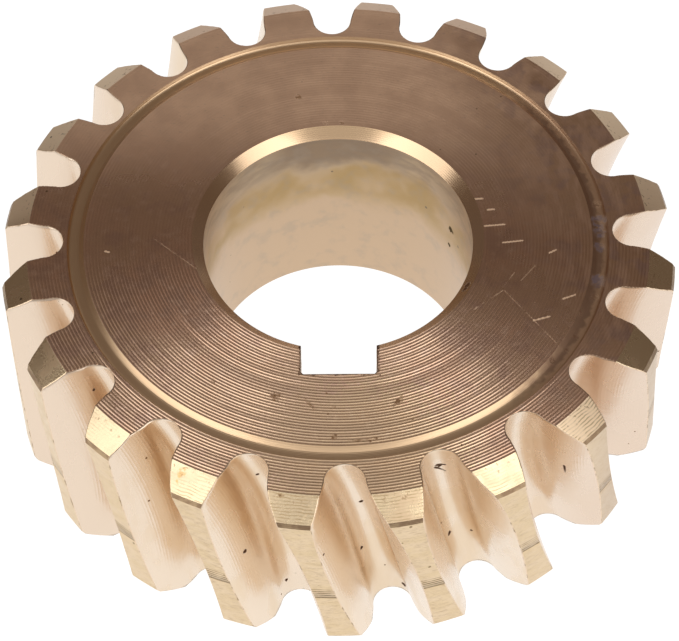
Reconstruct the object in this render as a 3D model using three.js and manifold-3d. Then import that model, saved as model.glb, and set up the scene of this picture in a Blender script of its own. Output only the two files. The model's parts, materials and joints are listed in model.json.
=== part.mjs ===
// A bronze worm wheel: one solid gear blank, bored and keyed for a shaft, with 20 throated
// left-hand teeth cut round its rim. Millimetres, +Z up along the bore, origin at the centre
// of the lower face, keyway towards -Y.
import * as THREE from "three";
import { mergeVertices } from "three/addons/utils/BufferGeometryUtils.js";
import Module from "manifold-3d";

const wasm = await Module();
wasm.setup();

// Driving dimensions.
const MODULE = 2.5;
const TEETH = 20;
const FACE_WIDTH = 18.6;
const BORE_RADIUS = 11;
const KEYWAY_WIDTH = 6;
const KEYWAY_FLOOR = 13.8; // from the axis to the floor of the keyway

// The turned blank.
const TIP_RADIUS = (MODULE * (TEETH + 2)) / 2;
const BORE_CHAMFER = { radial: 0.9, axial: 0.73 };
const TOOTH_CHAMFER = { radial: 2.05, axial: 1.2 };
const EDGE_BREAK = { radial: 0.15, axial: 0.25 };
const FACE_GROOVE = { inner: 20.75, floorInner: 21.05, floorOuter: 21.75, outer: 22, depth: 0.5 };
const ROUND_SEGMENTS = 60;

// The teeth. Heights are measured from the middle plane of the wheel.
const PITCH_RADIUS = (MODULE * TEETH) / 2;
const PRESSURE_ANGLE = THREE.MathUtils.degToRad(20);
const BASE_RADIUS = PITCH_RADIUS * Math.cos(PRESSURE_ANGLE);
const ROOT_AT_FACE = 22.4;
const HOB_RADIUS = 33; // the root is a hollow of this radius along the tooth
const TWIST_PER_MM = 0.0088; // left-hand helix, in radians
const GAP_AT_TOP = THREE.MathUtils.degToRad(-89.1);
const GAP_CLOSING = 0.004; // radians by which half a gap closes at the faces
const FLARE_LOSS = 0.38; // share of the flank's flare that is lost at the faces
const CUTTER_OVERRUN = 0.6; // how far the cutter reaches past the faces
const CUTTER_OUTER = TIP_RADIUS + 1.1;
const CUTTER_LEVELS = 7;
const FLANK_STEPS = 4;
const ROOT_STEPS = 6;

const BRONZE = { color: 0xb08d6a, roughness: 0.35, metalness: 1 };

function solidFrom(geometry) {
  const bare = geometry.clone();
  bare.deleteAttribute("normal");
  bare.deleteAttribute("uv");
  const merged = mergeVertices(bare, 1e-5);
  return new wasm.Manifold(
    new wasm.Mesh({
      numProp: 3,
      vertProperties: merged.attributes.position.array,
      triVerts: new Uint32Array(merged.index.array),
    }),
  );
}

function geometryFrom(solid) {
  const mesh = solid.getMesh();
  const geometry = new THREE.BufferGeometry();
  geometry.setAttribute("position", new THREE.BufferAttribute(mesh.vertProperties, 3));
  geometry.setIndex(new THREE.BufferAttribute(mesh.triVerts, 1));
  const faceted = geometry.toNonIndexed();
  faceted.computeVertexNormals();
  return faceted;
}

// The blank's section, counter-clockwise in (radius, height), from the lower bore edge.
function blankSection() {
  const top = FACE_WIDTH;
  const mouth = BORE_RADIUS + BORE_CHAMFER.radial;
  const rim = TIP_RADIUS - EDGE_BREAK.radial;
  const shoulder = rim - TOOTH_CHAMFER.radial;
  const landStart = TOOTH_CHAMFER.axial + EDGE_BREAK.axial;
  const groove = FACE_GROOVE;
  return [
    [mouth, 0],
    [shoulder, 0],
    [rim, TOOTH_CHAMFER.axial],
    [TIP_RADIUS, landStart],
    [TIP_RADIUS, top - landStart],
    [rim, top - TOOTH_CHAMFER.axial],
    [shoulder, top],
    [groove.outer, top],
    [groove.floorOuter, top - groove.depth],
    [groove.floorInner, top - groove.depth],
    [groove.inner, top],
    [mouth, top],
    [BORE_RADIUS, top - BORE_CHAMFER.axial],
    [BORE_RADIUS, BORE_CHAMFER.axial],
    [mouth, 0],
  ];
}

function turnedBlank() {
  const points = blankSection().map(([radius, height]) => new THREE.Vector2(radius, height));
  const lathe = new THREE.LatheGeometry(points, ROUND_SEGMENTS);
  lathe.rotateX(Math.PI / 2);
  return solidFrom(lathe);
}

const involute = (angle) => Math.tan(angle) - angle;

// Half the angle of a tooth gap at one radius and height; its flanks run radially below
// the base circle.
function halfGap(radius, height) {
  const end = (2 * height) / FACE_WIDTH;
  const flare = 1 - FLARE_LOSS * end * end;
  const pressure = Math.acos(Math.min(1, BASE_RADIUS / radius));
  const pitchHalf = Math.PI / (2 * TEETH) - GAP_CLOSING * end * end;
  return pitchHalf + flare * (involute(pressure) - involute(PRESSURE_ANGLE));
}

// The hollow root, as cut by a round hob whose axis lies across the wheel.
function rootRadius(height) {
  const hobAxis = ROOT_AT_FACE + Math.sqrt(HOB_RADIUS ** 2 - (FACE_WIDTH / 2) ** 2);
  return hobAxis - Math.sqrt(HOB_RADIUS ** 2 - height ** 2);
}

// One side of the gap at one height, from its outer end to the middle of the round root,
// as [radius, half angle].
function gapSide(height) {
  const root = rootRadius(height);
  let fillet = root * halfGap(root, height);
  for (let pass = 0; pass < 8; pass++) {
    fillet = (root + fillet) * halfGap(root + fillet, height);
  }
  const centre = root + fillet;
  const side = [];
  for (let i = 0; i < FLANK_STEPS; i++) {
    const radius = THREE.MathUtils.lerp(CUTTER_OUTER, centre, i / FLANK_STEPS);
    side.push([radius, halfGap(radius, height)]);
  }
  for (let i = 0; i <= ROOT_STEPS / 2; i++) {
    const turn = (Math.PI * i) / ROOT_STEPS;
    const inward = centre - fillet * Math.sin(turn);
    const across = fillet * Math.cos(turn);
    side.push([Math.hypot(inward, across), Math.atan2(across, inward)]);
  }
  return side;
}

// The whole gap outline at one height, turned by the helix, as points in space.
function gapOutline(height) {
  const side = gapSide(height);
  const middle = GAP_AT_TOP - TWIST_PER_MM * (height - FACE_WIDTH / 2);
  const mirrored = side
    .slice(0, -1)
    .reverse()
    .map(([radius, half]) => [radius, -half]);
  return [...side, ...mirrored].map(
    ([radius, half]) =>
      new THREE.Vector3(
        radius * Math.cos(middle + half),
        radius * Math.sin(middle + half),
        height + FACE_WIDTH / 2,
      ),
  );
}

// The solid that is taken out between two teeth.
function gapCutter() {
  const reach = FACE_WIDTH / 2 + CUTTER_OVERRUN;
  const outlines = Array.from({ length: CUTTER_LEVELS }, (_, level) =>
    gapOutline(THREE.MathUtils.lerp(-reach, reach, level / (CUTTER_LEVELS - 1))),
  );
  const count = outlines[0].length;
  const index = [];
  for (let level = 0; level < CUTTER_LEVELS - 1; level++) {
    for (let i = 0; i < count; i++) {
      const next = (i + 1) % count;
      const [a, b] = [level * count + i, level * count + next];
      const [c, d] = [a + count, b + count];
      index.push(a, b, c, b, d, c);
    }
  }
  const lid = (CUTTER_LEVELS - 1) * count;
  for (let i = 0; i < (count - 1) / 2; i++) {
    const j = count - 1 - i;
    index.push(i, j, i + 1);
    index.push(lid + i, lid + i + 1, lid + j);
    if (i + 1 < j - 1) {
      index.push(i + 1, j, j - 1);
      index.push(lid + i + 1, lid + j - 1, lid + j);
    }
  }
  const geometry = new THREE.BufferGeometry().setFromPoints(outlines.flat());
  geometry.setIndex(index);
  return geometry;
}

function keywayCutter() {
  const deep = KEYWAY_FLOOR - BORE_RADIUS / 2;
  const box = new THREE.BoxGeometry(KEYWAY_WIDTH, deep, FACE_WIDTH + 2);
  box.translate(0, -KEYWAY_FLOOR + deep / 2, FACE_WIDTH / 2);
  return solidFrom(box);
}

function wormWheelGeometry() {
  let wheel = turnedBlank().subtract(keywayCutter());
  const cutter = gapCutter();
  for (let tooth = 0; tooth < TEETH; tooth++) {
    const turned = cutter.clone().rotateZ((2 * Math.PI * tooth) / TEETH);
    wheel = wheel.subtract(solidFrom(turned));
  }
  return geometryFrom(wheel);
}

const wormWheel = new THREE.Mesh(wormWheelGeometry(), new THREE.MeshStandardMaterial(BRONZE));
wormWheel.name = "worm_wheel";

const wormGear = new THREE.Group();
wormGear.add(wormWheel);

export default wormGear;
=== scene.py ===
"""The looks of a bronze worm wheel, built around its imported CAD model.

The fine wheel is one watertight mesh: a turned hub, 20 teeth on a left-hand helix with hollow
roots, worn edges on every tooth, real turning lines in the upper face and on the chamfers, and a
broached keyway. The lines of the upper face are shallower on its far side. The bronze has a
finish of its own for each way a surface was machined. Lengths in the mesh code and in the
materials are millimetres; the camera, lights and floor are in metres.
"""
import json
import math

import bmesh
import bpy
import numpy as np
from mathutils import Matrix, Vector


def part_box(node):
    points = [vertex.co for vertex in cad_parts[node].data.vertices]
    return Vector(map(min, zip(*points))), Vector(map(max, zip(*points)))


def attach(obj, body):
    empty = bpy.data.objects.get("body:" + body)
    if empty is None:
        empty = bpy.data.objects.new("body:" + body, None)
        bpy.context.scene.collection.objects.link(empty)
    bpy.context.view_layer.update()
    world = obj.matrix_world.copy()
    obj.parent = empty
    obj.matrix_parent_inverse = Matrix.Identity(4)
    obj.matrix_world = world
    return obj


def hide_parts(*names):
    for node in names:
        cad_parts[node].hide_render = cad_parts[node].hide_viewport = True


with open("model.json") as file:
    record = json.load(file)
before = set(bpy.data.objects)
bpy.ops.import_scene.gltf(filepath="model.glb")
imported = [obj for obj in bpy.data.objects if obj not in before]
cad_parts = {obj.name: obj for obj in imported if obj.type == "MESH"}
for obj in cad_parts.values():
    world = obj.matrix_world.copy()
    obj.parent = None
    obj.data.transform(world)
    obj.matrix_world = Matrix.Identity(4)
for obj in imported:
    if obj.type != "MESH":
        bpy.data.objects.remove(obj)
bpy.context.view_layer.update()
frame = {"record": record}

MM = 0.001
NODE = "worm_wheel"
LOW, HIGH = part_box(NODE)

# Driving dimensions.
TIP_RADIUS = (HIGH.x - LOW.x) / 2 / MM
FACE_WIDTH = (HIGH.z - LOW.z) / MM
MOUNTS = {mount["name"]: mount for mount in frame["record"]["mounts"]}
KEYWAY_FLOOR = -MOUNTS["keyway_floor"]["pos_m"][1] / MM
KEYWAY_WIDTH = 6.0
BORE_RADIUS = 11.0
BORE_MOUTH = 11.9
BORE_CHAMFER_DEPTH = 0.73
SHOULDER = TIP_RADIUS - 2.2
RIM = TIP_RADIUS - 0.2
CHAMFER_DEPTH = 1.2
LAND_START = 1.56
LAND_LINE = 11.2  # depth below the upper face of a tool line round every land
LAND_LINE_CUT = ((0.035, 0.03), (0.015, 0.09), (0.0, 0.13))  # its section, as (depth, how far down)
GROOVE_INNER, GROOVE_OUTER = 20.72, 22.05
GROOVE_SECTION = (  # the face groove from its outer edge inwards, as (radius, depth)
    (GROOVE_OUTER, 0.0), (21.96, 0.2), (21.9, 0.3), (21.8, 0.35), (21.6, 0.36), (21.35, 0.35),
    (21.14, 0.33), (21.06, 0.3),
)
KEYWAY_CORNER = 0.2
KEYWAY_BEVEL = 0.1
KEYWAY_WANDER = 0.008  # how unevenly its walls are broached

# The teeth.
TEETH = 20
PITCH = 2 * math.pi / TEETH
PITCH_RADIUS = 25.0
PRESSURE_ANGLE = math.radians(20)
BASE_RADIUS = PITCH_RADIUS * math.cos(PRESSURE_ANGLE)
INVOLUTE_AT_PITCH = math.tan(PRESSURE_ANGLE) - PRESSURE_ANGLE
ROOT_AT_FACE = 22.4
HOB_RADIUS = 33.0
HOB_AXIS = ROOT_AT_FACE + math.sqrt(HOB_RADIUS**2 - (FACE_WIDTH / 2) ** 2)
TWIST_PER_MM = 0.0088
GAP_AT_TOP = math.radians(-89.1)
GAP_CLOSING = 0.004
FLARE_LOSS = 0.38
EDGE_BREAK = 0.05
WEAR, WEAR_RATES = 0.012, (0.9, 2.3, 6.1)  # how unevenly the edges are worn, in waves along them
ROOT_RING = ROOT_AT_FACE - 0.06

# Turning lines: (feed, depth).
FACE_LINES = (0.267, 0.052)
CHAMFER_LINES = (0.25, 0.006)
FAR_LOSS = 0.75  # share of the face lines' depth that is lost on the far side
FAR_STARTS, FAR_ENDS = -0.25, 0.55  # where the loss sets in and is full, as a sine of the bearing

# How the mesh is divided: across a tooth, out along a gap's wall, and over the lower face past
# the roots.
TOOTH_COLUMNS = 10
COLUMN_SHARES = (0.0, 0.015, *np.linspace(0.12, 0.88, 7), 0.985, 1.0)
GAP_SHARES = (
    0.0, 0.006, 0.022, 0.05, 0.09, 0.14, 0.2, 0.28, 0.37, 0.47, 0.58, 0.7, 0.82, 0.92, 1.0,
)
LOWER_STEPS = (2.3, 1.75, 1.3, 0.95, 0.7, 0.5, 0.34, 0.21, 0.12, 0.05, 0.0, -0.03)
LAND_ROWS, WALL_ROWS = 12, 11
CREST_ANGLE = 0.25  # edges of turning lines sharper than this, in radians, stay hard

KINDS = (
    "face", "groove", "mouth", "bore", "chamfer", "edge", "land", "flank", "break", "lower",
    "keyway",
)


# ---------------------------------------------------------------- tooth gaps


class Gap:
    """The outline of a tooth gap in one plane across the axis."""

    def __init__(self, z):
        height = z - FACE_WIDTH / 2
        end = 2 * height / FACE_WIDTH
        self.flare = 1 - FLARE_LOSS * end**2
        self.pitch_half = math.pi / (2 * TEETH) - GAP_CLOSING * end**2
        self.middle = GAP_AT_TOP - TWIST_PER_MM * (z - FACE_WIDTH)
        self.root = HOB_AXIS - math.sqrt(HOB_RADIUS**2 - height**2)
        self.fillet = self.root * self.flank(self.root)
        for _ in range(8):  # until the round root fits between the walls
            self.fillet = (self.root + self.fillet) * self.flank(self.root + self.fillet)
        self.centre = self.root + self.fillet

    def flank(self, radius):
        """Half the gap's angle where its sides are straight or involute."""
        pressure = math.acos(min(1, BASE_RADIUS / radius))
        involute = math.tan(pressure) - pressure
        return self.pitch_half + self.flare * (involute - INVOLUTE_AT_PITCH)

    def half(self, radius, margin=0.0):
        """Half the gap's angle at any radius, its round root included, and widened by a margin."""
        if radius**2 >= self.centre**2 + self.fillet**2:
            return self.flank(radius) + margin / radius
        reach = self.fillet + margin
        cosine = (radius**2 + self.centre**2 - reach**2) / (2 * radius * self.centre)
        return math.acos(min(1, cosine))


# ---------------------------------------------------------------- turned profiles


def scallops(length, lines, rng):
    """(distance, depth) along a turned stretch: round hollows between crests at full height."""
    feed, depth = lines
    count = round(length / feed)
    points = []
    for line in range(count):
        deepest = depth * rng.uniform(0.75, 1.0)
        for share in (0, 0.25, 0.5, 0.75):
            points.append(((line + share) * length / count, 4 * share * (1 - share) * deepest))
    return points


def even_steps(start, end, steps, kind):
    """Rows from start up to but not including end; both are (radius, z)."""
    (r0, z0), (r1, z1) = start, end
    return [(r0 + (r1 - r0) * i / steps, z0 + (z1 - z0) * i / steps, kind) for i in range(steps)]


def upper_chamfer(rng):
    run, drop = RIM - SHOULDER, CHAMFER_DEPTH
    slope = math.hypot(run, drop)
    rows = []
    for along, depth in scallops(slope, CHAMFER_LINES, rng):
        radius = SHOULDER + (along * run - depth * drop) / slope
        rows.append((radius, FACE_WIDTH - (along * drop + depth * run) / slope, "chamfer"))
    return rows


def tooth_section(upper, land_steps, lined):
    """Rows (radius, z, kind) down a tooth's outside, after those of its upper chamfer.

    A lined section has the tool line that runs round the lands.
    """
    top = FACE_WIDTH
    line = top - LAND_LINE
    lower_land = round(land_steps * 0.4)
    rows = upper + even_steps((RIM, top - CHAMFER_DEPTH), (TIP_RADIUS, top - LAND_START), 1, "edge")
    rows += even_steps((TIP_RADIUS, top - LAND_START), (TIP_RADIUS, line), land_steps, "land")
    if lined:
        for deep, down in ((0.0, 0.0), *LAND_LINE_CUT[:-1]):
            rows.append((TIP_RADIUS - deep, line - down, "land"))
        line -= LAND_LINE_CUT[-1][1]
    rows += even_steps((TIP_RADIUS, line), (TIP_RADIUS, LAND_START), lower_land, "land")
    rows += even_steps((TIP_RADIUS, LAND_START), (RIM, CHAMFER_DEPTH), 1, "edge")
    rows += even_steps((RIM, CHAMFER_DEPTH), (SHOULDER, 0.0), 4, "chamfer")
    return rows + [(SHOULDER, 0.0, "lower")]


def inset(rows, distance):
    """The rows of a section moved into the metal, lengthened at the corners."""
    points = np.array([(radius, z) for radius, z, _ in rows])
    before = np.diff(np.vstack([points[0] - (1, 0), points]), axis=0)
    after = np.diff(np.vstack([points, points[-1] - (1, 0)]), axis=0)
    moved = []
    for point, a, b in zip(points, before, after):
        first = np.array([-a[1], a[0]]) / np.hypot(*a)
        mean = first + np.array([-b[1], b[0]]) / np.hypot(*b)
        moved.append(point - distance * mean / (mean @ first))
    return moved


# ---------------------------------------------------------------- the wheel's mesh


class WheelMesh:
    """Vertices and faces of the wheel, and the kind of each face."""

    def __init__(self):
        self.points = []
        self.faces = []
        self.kinds = []
        self.right_edges = []
        self.left_edges = []
        self.rng = np.random.default_rng(7)
        self.wear_phases = self.rng.uniform(0, 2 * math.pi, (2 * TEETH, 3))
        self.face_rows = [
            (GROOVE_OUTER + along, FACE_WIDTH - depth)
            for along, depth in scallops(SHOULDER - GROOVE_OUTER, FACE_LINES, self.rng)
        ]
        self.upper_ring = self.ring(ROOT_RING, FACE_WIDTH)
        self.lower_ring = self.ring(ROOT_RING, 0.0)
        self.outside = self.outside_rows()
        for tooth in range(TEETH):
            self.make_gap(tooth)
        for tooth in range(TEETH):
            self.make_tooth(tooth)
        self.make_hub()

    @staticmethod
    def lined_height(z, angle):
        """A height on the upper face, whose turning lines are shallower on the far side."""
        far = (math.sin(angle) - FAR_STARTS) / (FAR_ENDS - FAR_STARTS)
        far = min(1.0, max(0.0, far))
        return FACE_WIDTH - (FACE_WIDTH - z) * (1 - FAR_LOSS * far * far * (3 - 2 * far))

    def add(self, radius, angle, z):
        """The number of a new vertex."""
        self.points.append((radius * math.cos(angle), radius * math.sin(angle), z))
        return len(self.points) - 1

    def strip(self, upper, lower, kind):
        """Faces between two rows of vertices; upper is the far row, seen from outside."""
        for i in range(len(upper) - 1):
            face = list(dict.fromkeys((upper[i], lower[i], lower[i + 1], upper[i + 1])))
            if len(face) > 2:
                self.faces.append(face)
                self.kinds.append(kind)

    def seam(self, upper, lower, kind):
        """Triangles between two rows of (vertex, place along the row) of unlike spacing."""
        i = j = 0
        while i < len(upper) - 1 or j < len(lower) - 1:
            upper_next = upper[i + 1][1] if i < len(upper) - 1 else math.inf
            lower_next = lower[j + 1][1] if j < len(lower) - 1 else math.inf
            if upper_next < lower_next:
                self.faces.append([upper[i][0], lower[j][0], upper[i + 1][0]])
                i += 1
            else:
                self.faces.append([upper[i][0], lower[j][0], lower[j + 1][0]])
                j += 1
            self.kinds.append(kind)

    def ring(self, radius, z, kind=""):
        """A closed row of vertices round the axis, from the first gap on."""
        count = TEETH * TOOTH_COLUMNS
        ring = []
        for i in range(count):
            angle = GAP_AT_TOP - TWIST_PER_MM * (z - FACE_WIDTH) + 2 * math.pi * i / count
            height = self.lined_height(z, angle) if kind == "face" else z
            ring.append(self.add(radius, angle, height))
        return ring + ring[:1]

    def wear(self, side, distance):
        """How much more than usual a tooth's edge is worn, in millimetres."""
        waves = zip(WEAR_RATES, self.wear_phases[side])
        return WEAR * sum(math.sin(rate * distance + phase) for rate, phase in waves)

    def outside_rows(self):
        """Rows (radius, half gap, z, kind) over a tooth, from its upper root to its lower.

        The first row lies just inside the root, and the lines of the face follow.
        """
        rows = [(ROOT_AT_FACE - 0.04, FACE_WIDTH - 0.01, "face")]
        beyond_root = [row for row in self.face_rows if row[0] > ROOT_AT_FACE - 0.03]
        rows += [(radius, z, "face") for radius, z in beyond_root]
        rows += tooth_section(upper_chamfer(self.rng), LAND_ROWS, lined=True)
        rows += [(ROOT_AT_FACE + beyond, 0.0, "lower") for beyond in LOWER_STEPS]
        return [(radius, Gap(z).half(radius, EDGE_BREAK), z, kind) for radius, z, kind in rows]

    def make_gap(self, number):
        """The two walls of one gap, as grids from its root to its outer edges."""
        turn = number * PITCH
        upper = even_steps((SHOULDER, FACE_WIDTH), (RIM, FACE_WIDTH - CHAMFER_DEPTH), 4, "chamfer")
        grid = []
        for outer, z in inset(tooth_section(upper, WALL_ROWS, lined=False), EDGE_BREAK):
            gap = Gap(z)
            radii = [gap.root + share * (outer - gap.root) for share in GAP_SHARES]
            halves = [0.0] + [gap.half(radius) for radius in radii[1:]]
            right = [self.add(r, gap.middle + turn + h, z) for r, h in zip(radii, halves)]
            left = [self.add(r, gap.middle + turn - h, z) for r, h in zip(radii[1:], halves[1:])]
            grid.append((radii, z, right, right[:1] + left))
        for (_, _, right, left), (_, _, next_right, next_left) in zip(grid, grid[1:]):
            self.strip(right, next_right, "flank")
            self.strip(next_left, left, "flank")
        self.right_edges.append(self.grid_edge(grid, 2))
        self.left_edges.append(self.grid_edge(grid, 3))

    @staticmethod
    def grid_edge(grid, side):
        """One wall's outer edge as [vertex, radius, z], round from its upper root to its lower."""
        radii, z, *_ = grid[0]
        edge = [(grid[0][side][i], radii[i], z) for i in range(len(radii) - 1)]
        edge += [(level[side][-1], level[0][-1], level[1]) for level in grid]
        radii, z, *_ = grid[-1]
        return edge + [(grid[-1][side][i], radii[i], z) for i in range(len(radii) - 2, -1, -1)]

    @staticmethod
    def placed(edge):
        """The vertices of an edge, each with its bearing from inside the tooth's section."""
        inner, middle = ROOT_AT_FACE - 0.2, FACE_WIDTH / 2
        return [(vertex, math.atan2(middle - z, radius - inner)) for vertex, radius, z in edge]

    def make_tooth(self, number):
        """A tooth's outside, and its worn edges along the gaps at its two sides."""
        first = number * TOOTH_COLUMNS
        last = first + TOOTH_COLUMNS + 1
        rows = [(self.upper_ring[first:last], ROOT_AT_FACE, FACE_WIDTH, "face")]
        for radius, half, z, kind in self.outside:
            middle = GAP_AT_TOP - TWIST_PER_MM * (z - FACE_WIDTH) + number * PITCH
            start = middle + half + self.wear(2 * number, radius - z) / radius
            end = middle + PITCH - half - self.wear(2 * number + 1, radius - z) / radius
            height = self.lined_height(z, middle + PITCH / 2) if kind == "face" else z
            angles = [start + (end - start) * share for share in COLUMN_SHARES]
            rows.append(([self.add(radius, angle, height) for angle in angles], radius, z, kind))
        rows.append((self.lower_ring[first:last], ROOT_AT_FACE, 0.0, "lower"))
        for (upper, _, _, kind), (lower, *_) in zip(rows, rows[1:]):
            self.strip(upper, lower, kind)
        start_edge = self.placed([(row[0], radius, z) for row, radius, z, _ in rows])
        end_edge = self.placed([(row[-1], radius, z) for row, radius, z, _ in rows])
        self.seam(start_edge, self.placed(self.right_edges[number]), "break")
        self.seam(self.placed(self.left_edges[(number + 1) % TEETH]), end_edge, "break")

    def hub_rows(self):
        """Rows (radius, z, kind) from the outer side of the face groove in and down the bore."""
        top = FACE_WIDTH
        inside_root = [row for row in self.face_rows if GROOVE_OUTER < row[0] < ROOT_RING - 0.03]
        rows = [(radius, z, "face") for radius, z in reversed(inside_root)]
        rows += [(radius, top - depth, "groove") for radius, depth in GROOVE_SECTION]
        for along, depth in scallops(GROOVE_INNER - BORE_MOUTH, FACE_LINES, self.rng):
            rows.append((GROOVE_INNER - along, top - depth, "face"))
        mouth_bottom = top - BORE_CHAMFER_DEPTH
        rows += even_steps((BORE_MOUTH, top), (BORE_RADIUS, mouth_bottom), 4, "mouth")
        bore_bottom = (BORE_RADIUS, BORE_CHAMFER_DEPTH)
        rows += even_steps((BORE_RADIUS, mouth_bottom), bore_bottom, 8, "bore")
        rows += even_steps(bore_bottom, (BORE_MOUTH, 0.0), 2, "mouth")
        return rows + even_steps((BORE_MOUTH, 0.0), (ROOT_RING, 0.0), 8, "lower")

    def make_hub(self):
        """The upper face inside the roots, the groove, the bore and the lower face."""
        outer, kind = self.upper_ring, "face"
        for radius, z, next_kind in self.hub_rows():
            inner = self.ring(radius, z, next_kind)
            self.strip(inner, outer, kind)
            outer, kind = inner, next_kind
        self.strip(self.lower_ring, outer, kind)


def mesh_from(build, materials):
    """A Blender mesh with one material for each kind of face."""
    mesh = bpy.data.meshes.new("wheel")
    mesh.from_pydata((np.array(build.points) * MM).tolist(), [], build.faces)
    for kind in KINDS:
        mesh.materials.append(materials[kind])
    mesh.polygons.foreach_set("material_index", [KINDS.index(kind) for kind in build.kinds])
    return mesh


def keyway_outline():
    """The keyway's section as (x, y), from inside the bore round its floor and back."""
    half, floor, corner = KEYWAY_WIDTH / 2, -KEYWAY_FLOOR, KEYWAY_CORNER
    inside, halfway = 1 - BORE_RADIUS, -12.0
    return [
        (-half, inside), (-half, halfway), (-half, floor + corner), (corner - half, floor),
        (half - corner, floor), (half, floor + corner), (half, halfway), (half, inside),
    ]


def keyway_cutter(material):
    """A prism through the wheel, with the faint wander of broached walls and bevelled ends."""
    rng = np.random.default_rng(23)
    outline = keyway_outline()
    overrun = 1.0
    between = np.linspace(KEYWAY_BEVEL, FACE_WIDTH - KEYWAY_BEVEL, 26)
    levels = [-overrun, *between, FACE_WIDTH + overrun]
    points = []
    for z in levels:
        left, right = rng.normal(0, KEYWAY_WANDER, 2)
        grow = KEYWAY_BEVEL + overrun if z in (levels[0], levels[-1]) else 0.0
        for x, y in outline:
            across = x - grow + left if x < 0 else x + grow + right
            points.append((across * MM, (y - grow) * MM, z * MM))
    count = len(outline)
    faces = [tuple(range(count))[::-1], tuple(range(len(points) - count, len(points)))]
    for level in range(len(levels) - 1):
        for i in range(count):
            a, b = level * count + i, level * count + (i + 1) % count
            faces.append((a, b, b + count, a + count))
    mesh = bpy.data.meshes.new("keyway")
    mesh.from_pydata(points, [], faces)
    mesh.materials.append(material)
    cutter = bpy.data.objects.new("keyway", mesh)
    bpy.context.collection.objects.link(cutter)
    return cutter


def cut(wheel, cutter):
    """Takes the cutter out of the wheel, and keeps the result as the wheel's own mesh."""
    modifier = wheel.modifiers.new("keyway", "BOOLEAN")
    modifier.operation = "DIFFERENCE"
    modifier.solver = "MANIFOLD"
    modifier.object = cutter
    shape = wheel.evaluated_get(bpy.context.evaluated_depsgraph_get())
    wheel.data = bpy.data.meshes.new_from_object(shape)
    wheel.modifiers.remove(modifier)
    bpy.data.objects.remove(cutter)


def shade_edges(wheel):
    """Smooth shading, with hard edges at machined corners and at the crests of turning lines."""
    shape = bmesh.new()
    shape.from_mesh(wheel.data)
    soft, lined = KINDS.index("break"), (KINDS.index("face"), KINDS.index("chamfer"))
    for face in shape.faces:
        face.smooth = True
    for edge in shape.edges:
        kinds = [face.material_index for face in edge.link_faces]
        corner = kinds[0] != kinds[1] and soft not in kinds
        same = kinds[0] == kinds[1] and kinds[0] in lined
        crest = same and edge.calc_face_angle() > CREST_ANGLE
        edge.smooth = not (corner or crest)
    shape.to_mesh(wheel.data)
    shape.free()
    even = wheel.modifiers.new("even shading", "WEIGHTED_NORMAL")
    even.keep_sharp = True


def make_wheel(materials):
    wheel = bpy.data.objects.new("bronze_worm_wheel", mesh_from(WheelMesh(), materials))
    bpy.context.collection.objects.link(wheel)
    cut(wheel, keyway_cutter(materials["keyway"]))
    shade_edges(wheel)
    return wheel


# ---------------------------------------------------------------- shader nodes


DIRT_ROUGHNESS = 0.7
FAR_AWAY = 9.0  # farther from a mark than its mask reaches


class Nodes:
    """Short calls that add shader nodes to a tree; a value is a number, a tuple or a socket."""

    def __init__(self, tree):
        self.tree = tree

    def feed(self, socket, value):
        """Sets a socket to a number or tuple, or links another socket to it."""
        if isinstance(value, bpy.types.NodeSocket):
            self.tree.links.new(value, socket)
        else:
            socket.default_value = value

    def node(self, kind, settings=(), **values):
        """A node; inputs are named by keyword, with _ for spaces."""
        made = self.tree.nodes.new("ShaderNode" + kind)
        for name, value in dict(settings).items():
            setattr(made, name, value)
        for name, value in values.items():
            self.feed(made.inputs[name.replace("_", " ")], value)
        return made

    def math(self, operation, *values):
        made = self.node("Math", {"operation": operation})
        for socket, value in zip(made.inputs, values):
            self.feed(socket, value)
        return made.outputs[0]

    def both(self, first, second):
        """A mask of where two masks overlap."""
        return self.math("MULTIPLY", first, second)

    def either(self, first, second):
        """A mask of where there is one of two masks, or both."""
        return self.math("MAXIMUM", first, second)

    def vector(self, operation, first, second=None, scale=None):
        made = self.node("VectorMath", {"operation": operation})
        self.feed(made.inputs[0], first)
        if second is not None:
            self.feed(made.inputs[1], second)
        if scale is not None:
            self.feed(made.inputs["Scale"], scale)
        measures = ("DOT_PRODUCT", "LENGTH", "DISTANCE")
        return made.outputs["Value" if operation in measures else "Vector"]

    def ramp(self, value, low, high, low_result=0.0, high_result=1.0):
        """A smooth step from one result to another as the value goes from low to high."""
        made = self.node("MapRange", {"interpolation_type": "SMOOTHSTEP"}, Value=value)
        for name, number in (("From Min", low), ("From Max", high)):
            made.inputs[name].default_value = number
        for name, number in (("To Min", low_result), ("To Max", high_result)):
            made.inputs[name].default_value = number
        return made.outputs[0]

    def noise(self, place, scale, detail=2.0, roughness=0.5):
        made = self.node("TexNoise", Vector=place, Scale=scale, Detail=detail, Roughness=roughness)
        return made.outputs[0]

    def mix(self, share, first, second):
        """A colour between two."""
        made = self.node("Mix", {"data_type": "RGBA"})
        factor, colour_1, colour_2 = (made.inputs[i] for i in (0, 6, 7))
        self.feed(factor, share)
        for socket, value in ((colour_1, first), (colour_2, second)):
            self.feed(socket, (*value, 1) if isinstance(value, tuple) else value)
        return made.outputs[2]

    def mix_numbers(self, share, first, second):
        made = self.node("Mix", {"data_type": "FLOAT"})
        for number, value in ((0, share), (2, first), (3, second)):
            self.feed(made.inputs[number], value)
        return made.outputs[0]


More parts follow.
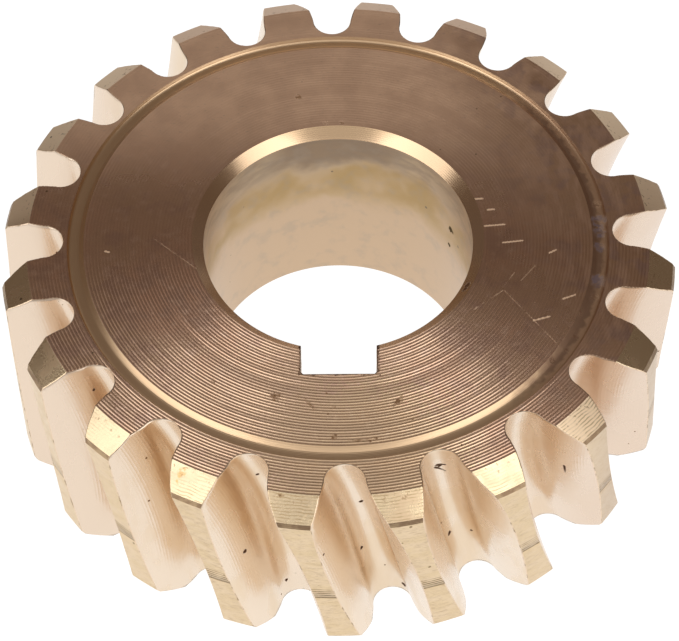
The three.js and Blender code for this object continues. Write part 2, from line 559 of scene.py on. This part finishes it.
class Metal(Nodes):
    """One finish of the bronze: its colour, roughness and relief, built up step by step."""

    def __init__(self, name, colour, roughness):
        self.material = bpy.data.materials.new(name)
        self.material.use_nodes = True
        super().__init__(self.material.node_tree)
        self.colour = colour
        self.roughness = roughness
        self.metallic = 1.0
        self.relief = None
        position = self.node("TexCoord").outputs["Object"]
        self.place = self.vector("SCALE", position, scale=1 / MM)
        self.x, self.y, self.z = self.node("SeparateXYZ", Vector=self.place).outputs
        self.radius = self.vector("LENGTH", self.vector("MULTIPLY", self.place, (1, 1, 0)))

    def blend(self, mask, colour, roughness=None, share=1.0):
        """Turns a share of the way to another colour and roughness where the mask is 1."""
        if share < 1:
            mask = self.both(mask, share)
        self.colour = self.mix(mask, self.colour, colour)
        if roughness is not None:
            self.roughness = self.mix_numbers(mask, self.roughness, roughness)

    def soil(self, mask, colour, share=1.0):
        """Covers a share of the metal with dull dirt where the mask is 1."""
        if share < 1:
            mask = self.both(mask, share)
        self.blend(mask, colour, DIRT_ROUGHNESS)
        bare = self.math("SUBTRACT", 1.0, mask)
        self.metallic = self.math("MULTIPLY", self.metallic, bare)

    def press(self, height):
        """Adds to the relief, in millimetres."""
        self.relief = height if self.relief is None else self.math("ADD", self.relief, height)

    def blotches(self, size, level, softness=0.1, detail=3.0, stretch=(1, 1, 1)):
        """A mask of irregular patches: a higher level leaves fewer of them."""
        place = self.vector("MULTIPLY", self.place, stretch)
        cloud = self.noise(place, 1 / size, detail, 0.55)
        return self.ramp(cloud, level - softness, level + softness)

    def waves(self, along, length):
        """A sine of the given wavelength along one coordinate."""
        return self.math("SINE", self.math("MULTIPLY", along, 2 * math.pi / length))

    def lines(self, along, feed, depth):
        """Relief of tool lines across one coordinate, each with its own depth."""
        count = self.math("DIVIDE", along, feed)
        share = self.math("FRACT", count)
        hollow = self.math("MULTIPLY", share, self.math("SUBTRACT", 1.0, share))
        number = self.math("FLOOR", count)
        chance = self.node("TexWhiteNoise", {"noise_dimensions": "1D"}, W=number).outputs[0]
        deep = self.math("MULTIPLY_ADD", chance, -2 * depth, -2 * depth)
        return self.math("MULTIPLY", hollow, deep)

    def specks(self, spacing, size):
        """A mask of small pits, about one to a cell of the given spacing."""
        made = self.node("TexVoronoi", Vector=self.place, Scale=1 / spacing)
        cells = self.node("SeparateXYZ", Vector=made.outputs["Color"]).outputs
        reach = self.math("MULTIPLY", cells[0], size / spacing)
        return self.math("LESS_THAN", made.outputs["Distance"], reach)

    def spots(self, marks):
        """A mask of marks given as (x, y, z, radius), with ragged edges."""
        ragged = self.math("MULTIPLY_ADD", self.noise(self.place, 4.0), 1.6, -0.8)
        nearest = FAR_AWAY
        for x, y, z, radius in marks:
            gone = self.vector("DISTANCE", self.place, (x, y, z))
            nearest = self.math("MINIMUM", nearest, self.math("DIVIDE", gone, radius))
        return self.ramp(self.math("ADD", nearest, ragged), 1.15, 0.75)

    def scratches(self, marks, width):
        """A mask of straight scratches given as two ends each, fading in and out."""
        nearest = FAR_AWAY
        for start, end in marks:
            start, end = Vector(start), Vector(end)
            way = end - start
            offset = self.vector("SUBTRACT", self.place, tuple(start))
            share = self.vector("DOT_PRODUCT", offset, tuple(way / way.length_squared))
            clamped = self.math("MINIMUM", self.math("MAXIMUM", share, 0.0), 1.0)
            foot = self.vector("SCALE", tuple(way), scale=clamped)
            nearest = self.math("MINIMUM", nearest, self.vector("DISTANCE", offset, foot))
        return self.ramp(nearest, width, width * 0.4)

    def keyway_edge(self):
        """A mask of the thin burr left round the mouth of the keyway."""
        beside = self.math("SUBTRACT", self.math("ABSOLUTE", self.x), KEYWAY_WIDTH / 2)
        below = self.math("SUBTRACT", self.math("MULTIPLY", self.y, -1.0), KEYWAY_FLOOR)
        uneven = self.math("MULTIPLY_ADD", self.noise(self.place, 2.2, 3.0), 0.5, -0.25)
        gone = self.math("ADD", self.math("MAXIMUM", beside, below), uneven)
        return self.both(self.ramp(gone, 0.24, 0.16), self.ramp(self.y, -10.0, -10.5))

    def finish(self):
        """Feeds what was built up to the shader, and gives the material."""
        shader = self.tree.nodes["Principled BSDF"]
        shader.inputs["Specular IOR Level"].default_value = 0.1
        self.feed(shader.inputs["Base Color"], self.colour)
        self.feed(shader.inputs["Metallic"], self.metallic)
        self.feed(shader.inputs["Roughness"], self.roughness)
        if self.relief is not None:
            bump = self.node("Bump", Strength=1.0, Distance=MM, Height=self.relief)
            self.feed(shader.inputs["Normal"], bump.outputs[0])
        return self.material


# ---------------------------------------------------------------- finishes


TOP = FACE_WIDTH  # height of the upper face
GAP_OFFSET = 3.37  # shifts the tool lines of one gap against those of the next
DIRT = (0.10, 0.045, 0.02)
BROWN = (0.19, 0.095, 0.04)
OLIVE = (0.11, 0.075, 0.03)
BLUISH = (0.07, 0.07, 0.12)

# Marks: a spot is (x, y, z, radius), and a scratch, dent, smear or gash is its two ends.
FACE_SPOTS = [
    (-5.0, -16.0, TOP, 0.4), (4.65, -16.5, TOP, 0.28), (-0.4, -19.8, TOP, 0.26),
    (2.8, -20.0, TOP, 0.15), (-3.2, -15.9, TOP, 0.12), (-1.0, -15.7, TOP, 0.1),
    (-0.4, -17.0, TOP, 0.12), (-0.9, -17.7, TOP, 0.12), (5.7, -18.3, TOP, 0.12),
    (-9.9, -14.5, TOP, 0.22), (-3.3, 15.1, TOP, 0.3), (-1.0, 12.2, TOP, 0.25),
    (0.4, 12.3, TOP, 0.25),
]
FACE_SMEARS = [
    ((-2.6, -16.3, TOP), (-1.9, -17.2, TOP)), ((0.7, -20.15, TOP), (2.35, -20.25, TOP)),
    ((4.2, -16.9, TOP), (4.9, -16.1, TOP)),
]
LONG_SCRATCHES = [
    ((13.3, -5.7, TOP), (17.2, -11.0, TOP)), ((10.8, -7.6, TOP), (13.2, -5.7, TOP)),
    ((13.2, -5.4, TOP), (14.2, -3.9, TOP)), ((14.7, -4.7, TOP), (15.9, -3.2, TOP)),
    ((-14.9, -0.2, TOP), (-11.3, -3.4, TOP)),
]
SHORT_DENTS = [
    ((11.3, 3.8, TOP), (11.9, 3.85, TOP)), ((12.0, 0.95, TOP), (13.6, 1.1, TOP)),
    ((13.4, -0.8, TOP), (15.0, -0.6, TOP)), ((17.1, -1.9, TOP), (17.65, -1.6, TOP)),
    ((15.5, -8.75, TOP), (16.8, -8.35, TOP)), ((17.95, -6.6, TOP), (18.95, -6.2, TOP)),
    ((12.3, 2.65, TOP), (12.8, 2.7, TOP)), ((-18.9, -1.4, TOP), (-18.6, -1.5, TOP)),
]
GROOVE_DIRT = [
    (19.2, -8.0, TOP - 0.1, 0.3), (18.8, -10.1, TOP - 0.2, 0.35), (18.0, -11.5, TOP - 0.2, 0.3),
    (16.8, -12.6, TOP - 0.2, 0.3), (20.5, -6.2, TOP - 0.2, 0.4), (21.3, 3.4, TOP - 0.3, 0.4),
]
GROOVE_RESIDUE = [
    (21.4, 1.6, TOP - 0.3, 0.7), (21.3, 0.4, TOP - 0.3, 0.55), (21.2, -1.1, TOP - 0.3, 0.5),
    (20.9, -4.6, TOP - 0.3, 0.7),
]
COARSE_CHAMFER = (19.4, -18.7, TOP, 5.0)
CHAMFER_STAIN = [(-12.0, -22.7, TOP - 0.7, 0.5), (-12.2, -23.2, TOP - 1.0, 0.4)]
BORE_SPOTS = [(9.55, 5.5, TOP - 6.1, 0.35), (9.5, 5.65, TOP - 8.3, 0.2)]
MOUTH_DIRT = [(10.35, -4.9, TOP - 0.3, 0.3), (10.2, -5.3, TOP - 0.4, 0.25)]
FLANK_SPOTS = [
    (7.8, -20.1, 14.8, 0.16), (1.7, -21.1, 11.4, 0.2), (1.7, -21.8, 5.7, 0.2),
    (-6.4, -20.8, 14.9, 0.15), (-19.4, -13.4, 16.0, 0.15), (4.6, -24.0, 7.1, 0.14),
    (5.2, -22.3, 0.9, 0.25), (8.9, -19.7, 4.5, 0.2), (10.7, -19.2, 4.2, 0.12),
    (-1.3, -27.0, 13.0, 0.12), (-4.4, -22.1, 1.4, 0.15), (-7.5, -24.3, 9.2, 0.22),
]
FLANK_GASHES = [
    ((7.3, -20.2, 15.4), (8.2, -20.1, 15.0)), ((7.4, -20.2, 14.9), (8.3, -19.9, 13.7)),
    ((7.4, -20.2, 15.2), (7.9, -20.1, 14.9)), ((17.9, -17.7, 11.2), (18.1, -17.4, 10.0)),
]


def face_metal():
    metal = Metal("turned bronze", (0.80, 0.56, 0.39), 0.22)
    metal.blend(metal.blotches(7.0, 0.5), (0.75, 0.49, 0.34), 0.27)
    metal.blend(metal.blotches(2.2, 0.56), (0.67, 0.45, 0.33), 0.26)
    metal.blend(metal.blotches(0.8, 0.62, 0.12), (0.82, 0.58, 0.43), 0.26)
    metal.blend(metal.spots([(2.0, -22.0, TOP, 8.0)]), (0.74, 0.57, 0.34), share=0.5)
    metal.blend(metal.spots([(-6.5, -17.5, TOP, 6.5)]), (0.69, 0.49, 0.33), share=0.6)
    # painted light makes the far side of the upper face lighter
    paint_far_side_light(metal)
    # painted shade darkens the right of the upper face brown
    paint_right_side_shade(metal)
    mark_face(metal)
    metal.press(metal.math("MULTIPLY", metal.noise(metal.place, 3.0), 0.006))
    return metal.finish()


def paint_far_side_light(metal):
    """Painted light on the upper face: its far side is made lighter in colour, mottled and scuffed.
    """
    # painted light: a lighter colour over the far side of the upper face
    metal.blend(metal.ramp(metal.y, 3.0, 15.0), (1.0, 0.71, 0.495), 0.46)
    mottled = metal.both(metal.ramp(metal.y, -2.0, 8.0), metal.blotches(2.6, 0.5, 0.14, 4.0))
    metal.blend(mottled, (0.78, 0.53, 0.365), share=0.5)
    short_strokes = metal.blotches(0.5, 0.66, 0.06, stretch=(1, 2.5, 1))
    scuffs = metal.both(metal.ramp(metal.y, 6.0, 12.0), short_strokes)
    metal.blend(scuffs, (0.60, 0.42, 0.30), 0.5, share=0.35)


def paint_right_side_shade(metal):
    """Painted shade towards the right of the upper face, brown and cloudy, with purple and dusty
    patches.
    """
    rightward = metal.vector("DOT_PRODUCT", metal.place, (0.97, 0.26, 0))
    right = metal.ramp(rightward, 11.0, 21.0)
    cloudy = metal.ramp(metal.noise(metal.place, 0.35, 3.0), 0.3, 0.6, 0.4, 1.0)
    # painted shade: the right of the upper face darkened to brown
    metal.blend(metal.both(right, cloudy), (0.56, 0.36, 0.23), 0.36)
    purple = metal.both(right, metal.blotches(1.6, 0.56))
    metal.blend(purple, (0.44, 0.30, 0.26), share=0.6)
    dusty = metal.both(right, metal.blotches(1.3, 0.54, 0.1, 4.0, (1.6, 0.5, 1)))
    metal.blend(dusty, (0.70, 0.47, 0.33), 0.4, share=0.55)


def mark_face(metal):
    """Scratches, dents, pits and dirty marks on the upper face."""
    faded = metal.ramp(metal.noise(metal.place, 1.6), 0.35, 0.6, 0.1, 0.55)
    metal.blend(metal.both(metal.scratches(LONG_SCRATCHES, 0.07), faded), (0.92, 0.7, 0.5), 0.7)
    metal.blend(metal.scratches(SHORT_DENTS, 0.12), (0.95, 0.76, 0.56), 0.8, share=0.8)
    metal.blend(metal.specks(2.4, 0.1), (0.33, 0.21, 0.12))
    ragged = metal.ramp(metal.noise(metal.place, 3.0, 3.0), 0.4, 0.6, 0.25, 0.9)
    smears = metal.either(metal.spots(FACE_SPOTS), metal.scratches(FACE_SMEARS, 0.2))
    metal.soil(metal.both(smears, ragged), BROWN)
    metal.soil(metal.both(metal.keyway_edge(), ragged), DIRT)


def groove_metal():
    metal = Metal("groove bronze", (0.74, 0.53, 0.33), 0.3)
    inner_wall = metal.ramp(metal.radius, 21.2, 21.05)
    # painted shade on the groove's inner wall on the far side, which faces away
    shaded_far_wall = metal.both(inner_wall, metal.ramp(metal.y, 0.0, 12.0))
    metal.blend(shaded_far_wall, (0.56, 0.41, 0.29), 0.45)
    stain_groove(metal)
    residue = metal.both(metal.spots(GROOVE_RESIDUE), metal.blotches(0.5, 0.42, 0.15))
    metal.soil(residue, BLUISH, share=0.6)
    clots = metal.both(metal.spots(GROOVE_DIRT), metal.blotches(0.25, 0.45, 0.15))
    metal.soil(clots, DIRT, share=0.8)
    metal.press(metal.lines(metal.radius, 0.13, 0.008))
    return metal.finish()


def stain_groove(metal):
    """The stained right side of the groove, with a dark band along its floor."""
    drift = metal.math("MULTIPLY_ADD", metal.noise(metal.place, 0.8, 3.0), 6.0, -3.0)
    stained = metal.ramp(metal.math("ADD", metal.x, drift), 13.0, 18.0)
    metal.blend(stained, (0.60, 0.40, 0.255), 0.4)
    edge = metal.math("MULTIPLY_ADD", metal.noise(metal.place, 1.1, 3.0), 1.2, metal.radius)
    band = metal.both(metal.ramp(edge, 22.3, 21.9), stained)
    metal.blend(band, (0.25, 0.15, 0.10), 0.5, share=0.8)


def chamfer_metal():
    metal = Metal("chamfer bronze", (0.82, 0.66, 0.43), 0.24)
    metal.blend(metal.blotches(3.0, 0.55), (0.74, 0.56, 0.36), 0.3)
    # painted shade: the chamfers on the far side are darker
    metal.blend(metal.ramp(metal.y, 2.0, 16.0), (0.66, 0.45, 0.29), 0.32)
    # painted highlight: a lighter cream on the chamfers behind, at both sides; the coarse patch
    # gets the same lighter cream
    beside = metal.ramp(metal.math("ABSOLUTE", metal.x), 13.0, 21.0)
    behind = metal.both(beside, metal.ramp(metal.y, -1.0, 4.0))
    coarse = metal.spots([COARSE_CHAMFER])
    metal.blend(metal.either(behind, coarse), (0.96, 0.76, 0.53), 0.42)
    metal.blend(metal.spots([(-8.0, -24.5, TOP, 7.0)]), (0.66, 0.53, 0.35), share=0.7)
    metal.blend(metal.spots(CHAMFER_STAIN), (0.66, 0.42, 0.17), 0.35, share=0.8)
    metal.blend(metal.specks(1.5, 0.12), (0.25, 0.17, 0.1))
    near_top = metal.ramp(metal.z, TOP - 0.75, TOP - 0.2)
    flecks = metal.both(near_top, metal.blotches(0.35, 0.64, 0.05))
    metal.blend(flecks, (0.36, 0.22, 0.11), 0.4, share=0.7)
    line_chamfer(metal, coarse)
    metal.press(metal.math("MULTIPLY", metal.noise(metal.place, 6.0, 3.0), 0.006))
    return metal.finish()


def line_chamfer(metal, coarse):
    """Wavy tool lines on the chamfers, dark in front and where the mask of coarse ones is 1."""
    wobble = metal.math("MULTIPLY_ADD", metal.noise(metal.place, 0.8), 0.3, metal.radius)
    waves = metal.waves(wobble, 0.22)
    broken = metal.ramp(metal.noise(metal.place, 1.2), 0.38, 0.6, 0.2, 0.8)
    dark = metal.either(metal.ramp(metal.y, -22.0, -25.0), coarse)
    strokes = metal.both(metal.ramp(waves, 0.1, 0.9), metal.both(broken, dark))
    metal.blend(strokes, (0.48, 0.34, 0.18), 0.35)
    metal.press(metal.math("MULTIPLY", waves, 0.0012))


def edge_metal():
    metal = Metal("dark edge", (0.30, 0.20, 0.12), 0.35)
    metal.blend(metal.blotches(0.8, 0.55), (0.42, 0.30, 0.18))
    metal.press(metal.lines(metal.z, 0.12, 0.02))
    return metal.finish()


def land_metal():
    metal = Metal("land bronze", (0.76, 0.59, 0.39), 0.3)
    metal.blend(metal.blotches(2.5, 0.5, stretch=(1, 1, 3)), (0.74, 0.57, 0.355), 0.34)
    # painted shade: the lands towards the right are darker
    metal.blend(metal.ramp(metal.x, 17.0, 23.0), (0.60, 0.46, 0.32))
    line_land(metal)
    nicks = metal.blotches(0.7, 0.6, 0.07, stretch=(1, 1, 10))
    metal.blend(nicks, (0.54, 0.38, 0.22), 0.4, share=0.55)
    fine_nicks = metal.blotches(0.3, 0.6, 0.06, stretch=(1, 1, 6))
    metal.blend(fine_nicks, (0.62, 0.45, 0.28), 0.4, share=0.4)
    metal.press(metal.lines(metal.z, 0.22, 0.006))
    metal.press(metal.math("MULTIPLY", nicks, -0.012))
    metal.blend(metal.specks(1.8, 0.14), (0.3, 0.2, 0.1))
    return metal.finish()


def line_land(metal):
    """The dark tool line round the lands, and the finer strokes just above it."""
    depth = metal.math("SUBTRACT", TOP, metal.z)
    starts = metal.ramp(depth, LAND_LINE - 1.5, LAND_LINE - 0.9)
    ends = metal.ramp(depth, LAND_LINE, LAND_LINE - 0.1)
    stripes = metal.ramp(metal.waves(depth, 0.27), -0.1, 0.6)
    broken = metal.ramp(metal.noise(metal.place, 0.9), 0.35, 0.55, 0.45, 1.0)
    strokes = metal.both(metal.both(metal.both(starts, ends), stripes), broken)
    metal.blend(strokes, (0.22, 0.13, 0.05), 0.5)
    below = metal.math("SUBTRACT", depth, LAND_LINE)
    line = metal.both(metal.ramp(below, -0.05, 0.0), metal.ramp(below, 0.12, 0.06))
    metal.blend(line, (0.17, 0.10, 0.04), 0.6, share=0.9)


def flank_metal():
    metal = Metal("cut bronze", (0.825, 0.69, 0.55), 0.26)
    metal.blend(metal.blotches(3.0, 0.52, stretch=(1, 1, 0.4)), (0.80, 0.645, 0.475), 0.3)
    # painted shade: the gap walls towards the right and towards the left are darker
    metal.blend(metal.ramp(metal.x, 13.0, 22.0), (0.76, 0.605, 0.475))
    metal.blend(metal.ramp(metal.x, -13.0, -22.0), (0.79, 0.645, 0.51))
    line_flank(metal)
    metal.press(metal.math("MULTIPLY", metal.noise(metal.place, 0.9), 0.02))
    metal.soil(metal.specks(2.1, 0.12), BROWN)
    metal.soil(metal.either(metal.spots(FLANK_SPOTS), metal.scratches(FLANK_GASHES, 0.16)), DIRT)
    return metal.finish()


def line_flank(metal):
    """The hob's lines along a gap's walls, deeper near the tip and not alike in any two gaps."""
    height = metal.math("SUBTRACT", metal.z, FACE_WIDTH / 2)
    height_squared = metal.math("MULTIPLY", height, height)
    hollow = metal.math("SQRT", metal.math("SUBTRACT", HOB_RADIUS**2, height_squared))
    above_root = metal.math("SUBTRACT", metal.math("ADD", metal.radius, hollow), HOB_AXIS)
    angle = metal.math("ARCTAN2", metal.y, metal.x)
    untwist = -GAP_AT_TOP - TWIST_PER_MM * FACE_WIDTH
    twist = metal.math("MULTIPLY_ADD", metal.z, TWIST_PER_MM, untwist)
    turn = metal.math("MULTIPLY_ADD", metal.math("ADD", angle, twist), 1 / PITCH, TEETH + 0.5)
    aside = metal.math("ABSOLUTE", metal.math("SUBTRACT", metal.math("FRACT", turn), 0.5))
    along = metal.math("MULTIPLY_ADD", aside, PITCH * ROOT_AT_FACE, above_root)
    across = metal.math("MULTIPLY_ADD", metal.math("FLOOR", turn), GAP_OFFSET, along)
    near_tip = metal.ramp(above_root, 1.2, 3.6, 0.5, 0.8)
    metal.press(metal.math("MULTIPLY", near_tip, metal.lines(across, 0.31, 0.006)))


def bore_metal():
    # the bore's base colour is darker than the faces' as painted shade inside the hole
    metal = Metal("bore bronze", (0.60, 0.435, 0.29), 0.36)
    depth = metal.math("SUBTRACT", TOP, metal.z)
    # painted shade at the top of the bore, and a yellow band
    paint_bore_shade_and_band(metal, depth)
    patchy = metal.blotches(2.0, 0.5, 0.15, 4.0, (1, 1, 3))
    streaks = metal.both(metal.ramp(depth, 4.5, 2.5), patchy)
    metal.blend(streaks, (0.30, 0.23, 0.17), 0.42, share=0.5)
    metal.blend(metal.blotches(1.6, 0.6, 0.12), (0.40, 0.33, 0.26), share=0.35)
    metal.blend(metal.specks(2.6, 0.15), (0.25, 0.19, 0.12))
    metal.soil(metal.spots(BORE_SPOTS), OLIVE)
    metal.press(metal.lines(metal.z, 0.11, 0.003))
    return metal.finish()


def paint_bore_shade_and_band(metal, depth):
    """Painted shade at the bore's grey top, darkest at the far wall, and the uneven yellow band
    below it.
    """
    drift = metal.math("MULTIPLY_ADD", metal.noise(metal.place, 0.3, 3.0), 5.0, -2.5)
    level = metal.math("ADD", depth, drift)
    # painted shade: the top of the bore is grey and darker
    metal.blend(metal.ramp(level, 6.0, 2.0), (0.50, 0.385, 0.26), 0.42)
    band = metal.both(metal.ramp(level, 3.0, 5.0), metal.ramp(level, 9.5, 7.0))
    patches = metal.ramp(metal.noise(metal.place, 0.3), 0.3, 0.65, 0.3, 0.9)
    metal.blend(metal.both(band, patches), (0.47, 0.32, 0.14), 0.42)
    # painted shade: darkest at the far wall near the top
    shaded_far_wall = metal.both(metal.ramp(level, 4.2, 2.6), metal.ramp(metal.y, 9.0, 10.6))
    metal.blend(shaded_far_wall, (0.355, 0.26, 0.175), 0.45)


def mouth_metal():
    metal = Metal("bore chamfer", (0.80, 0.60, 0.42), 0.2)
    # painted shade on the far half of the bore chamfer, darkest at its far edge, and a painted
    # highlight on its near side
    metal.blend(metal.ramp(metal.y, 0.0, 5.0), (0.74, 0.53, 0.34))
    metal.blend(metal.ramp(metal.y, 10.4, 11.3), (0.58, 0.41, 0.25), 0.22)
    metal.blend(metal.ramp(metal.y, -5.0, -9.0), (0.84, 0.69, 0.59), 0.3)
    metal.soil(metal.either(metal.spots(MOUTH_DIRT), metal.keyway_edge()), DIRT)
    metal.press(metal.lines(metal.radius, 0.13, 0.003))
    return metal.finish()


def break_metal():
    metal = Metal("worn edge", (0.80, 0.62, 0.45), 0.35)
    metal.blend(metal.blotches(0.8, 0.6, 0.08), (0.38, 0.27, 0.16), 0.45)
    at_face = metal.ramp(metal.z, TOP - 0.1, TOP - 0.05, 0.0, 0.75)
    metal.blend(at_face, (0.24, 0.16, 0.10), 0.5)
    return metal.finish()


def lower_metal():
    metal = Metal("lower face", (0.80, 0.58, 0.40), 0.26)
    metal.blend(metal.blotches(6.0, 0.5, 0.2), (0.76, 0.54, 0.37), 0.3)
    metal.press(metal.lines(metal.radius, 0.28, 0.03))
    metal.soil(metal.specks(2.4, 0.14), BROWN)
    return metal.finish()


def keyway_metal():
    metal = Metal("broached bronze", (0.70, 0.52, 0.34), 0.36)
    metal.blend(metal.blotches(1.5, 0.55), (0.5, 0.36, 0.22), 0.45)
    metal.soil(metal.ramp(metal.z, TOP - 0.16, TOP - 0.08), DIRT)
    metal.press(metal.lines(metal.x, 0.3, 0.006))
    metal.press(metal.lines(metal.y, 0.25, 0.006))
    return metal.finish()


# ---------------------------------------------------------------- stage


def make_camera():
    """The camera, above and in front of the keyway, aimed a little in front of the bore's axis."""
    camera = bpy.data.objects.new("camera", bpy.data.cameras.new("camera"))
    bpy.context.collection.objects.link(camera)
    elevation, distance = math.radians(51.21), 0.2243
    droop, roll, yaw = (math.radians(angle) for angle in (1.76, -0.389, -0.03))
    target = Vector((0, 0, HIGH.z))
    camera.location = target + distance * Vector((0, -math.cos(elevation), math.sin(elevation)))
    turns = ((yaw, "Z"), (math.pi / 2 - elevation - droop, "X"), (roll, "Z"))
    first, second, third = (Matrix.Rotation(angle, 3, axis) for angle, axis in turns)
    camera.rotation_euler = (first @ second @ third).to_euler()
    camera.data.lens = 146
    camera.data.sensor_width = 36
    camera.data.clip_start = 0.01
    bpy.context.scene.camera = camera


def softbox(name, azimuth, width_angle, brightness):
    """A tall light just above the floor, half a metre away and as wide as the angle it fills.

    Angles are in degrees.
    """
    distance, height, gap = 0.5, 1.06, 0.01
    width = 2 * distance * math.tan(math.radians(width_angle) / 2)
    light = bpy.data.lights.new(name, "AREA")
    light.shape = "RECTANGLE"
    light.size, light.size_y = width, height
    light.energy = brightness * math.pi * width * height
    lamp = bpy.data.objects.new(name, light)
    bpy.context.collection.objects.link(lamp)
    direction = Vector((math.cos(math.radians(azimuth)), math.sin(math.radians(azimuth)), 0))
    lamp.location = direction * distance + Vector((0, 0, height / 2 + gap))
    lamp.rotation_euler = direction.to_track_quat("Z", "Y").to_euler()
    lamp.visible_camera = False


def make_floor():
    """A floor with a glow of its own, brightest round the wheel."""
    reach = 1.5
    corners = [(-reach, -reach, 0), (reach, -reach, 0), (reach, reach, 0), (-reach, reach, 0)]
    mesh = bpy.data.meshes.new("floor")
    mesh.from_pydata(corners, [], [(0, 1, 2, 3)])
    floor = bpy.data.objects.new("floor", mesh)
    bpy.context.collection.objects.link(floor)
    material = bpy.data.materials.new("floor")
    material.use_nodes = True
    nodes = Nodes(material.node_tree)
    away = nodes.vector("LENGTH", nodes.node("TexCoord").outputs["Object"])
    bright_to, dim_from, dim, backdrop = 0.062, 0.11, 0.5, 0.97
    glow = nodes.ramp(away, bright_to, dim_from, 1.0, dim)
    seen = nodes.node("LightPath").outputs["Is Camera Ray"]
    shader = material.node_tree.nodes["Principled BSDF"]
    shader.inputs["Base Color"].default_value = (0.12, 0.12, 0.12, 1)
    shader.inputs["Roughness"].default_value = 1
    shader.inputs["Specular IOR Level"].default_value = 0
    shader.inputs["Emission Color"].default_value = (1, 1, 1, 1)
    shown = nodes.math("MAXIMUM", glow, nodes.math("MULTIPLY", seen, backdrop))
    nodes.feed(shader.inputs["Emission Strength"], shown)
    mesh.materials.append(material)


def make_world():
    """A dim warm room, lighter in front, overhead and low behind; the backdrop is white."""
    world = bpy.data.worlds.new("studio")
    bpy.context.scene.world = world
    world.use_nodes = True
    nodes = Nodes(world.node_tree)
    direction = nodes.node("TexCoord").outputs["Generated"]
    lobes = [  # the way to it, where it begins and is full, in degrees from there, and its strength
        ((0, -1, 0.55), 65, 40, 0.40),
        ((0, -0.17, 1), 42, 26, 0.32),
        ((0.1, 1, 0.14), 36, 18, 0.34),
    ]
    light = 0.0
    for axis, outer, inner, strength in lobes:
        cosine = nodes.vector("DOT_PRODUCT", direction, tuple(Vector(axis).normalized()))
        low, high = math.cos(math.radians(outer)), math.cos(math.radians(inner))
        light = nodes.math("ADD", light, nodes.ramp(cosine, low, high, 0.0, strength))
    grey = nodes.node("CombineXYZ", X=light, Y=light, Z=light).outputs[0]
    warm_walls, white = (0.13, 0.095, 0.075), (1.0, 1.0, 1.0)
    room = nodes.vector("ADD", grey, warm_walls)
    seen = nodes.node("LightPath").outputs["Is Camera Ray"]
    shown = nodes.mix(seen, room, white)
    background = world.node_tree.nodes["Background"]
    nodes.feed(background.inputs["Color"], shown)


make_camera()
make_floor()
make_world()
softbox("left softbox", azimuth=-153.5, width_angle=57, brightness=1.45)
softbox("right softbox", azimuth=-33.5, width_angle=48, brightness=1.45)
bpy.context.scene.view_settings.view_transform = "Standard"

materials = {
    "face": face_metal(),
    "groove": groove_metal(),
    "mouth": mouth_metal(),
    "bore": bore_metal(),
    "chamfer": chamfer_metal(),
    "edge": edge_metal(),
    "land": land_metal(),
    "flank": flank_metal(),
    "break": break_metal(),
    "lower": lower_metal(),
    "keyway": keyway_metal(),
}
wheel = make_wheel(materials)
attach(wheel, "root")
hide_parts(NODE)
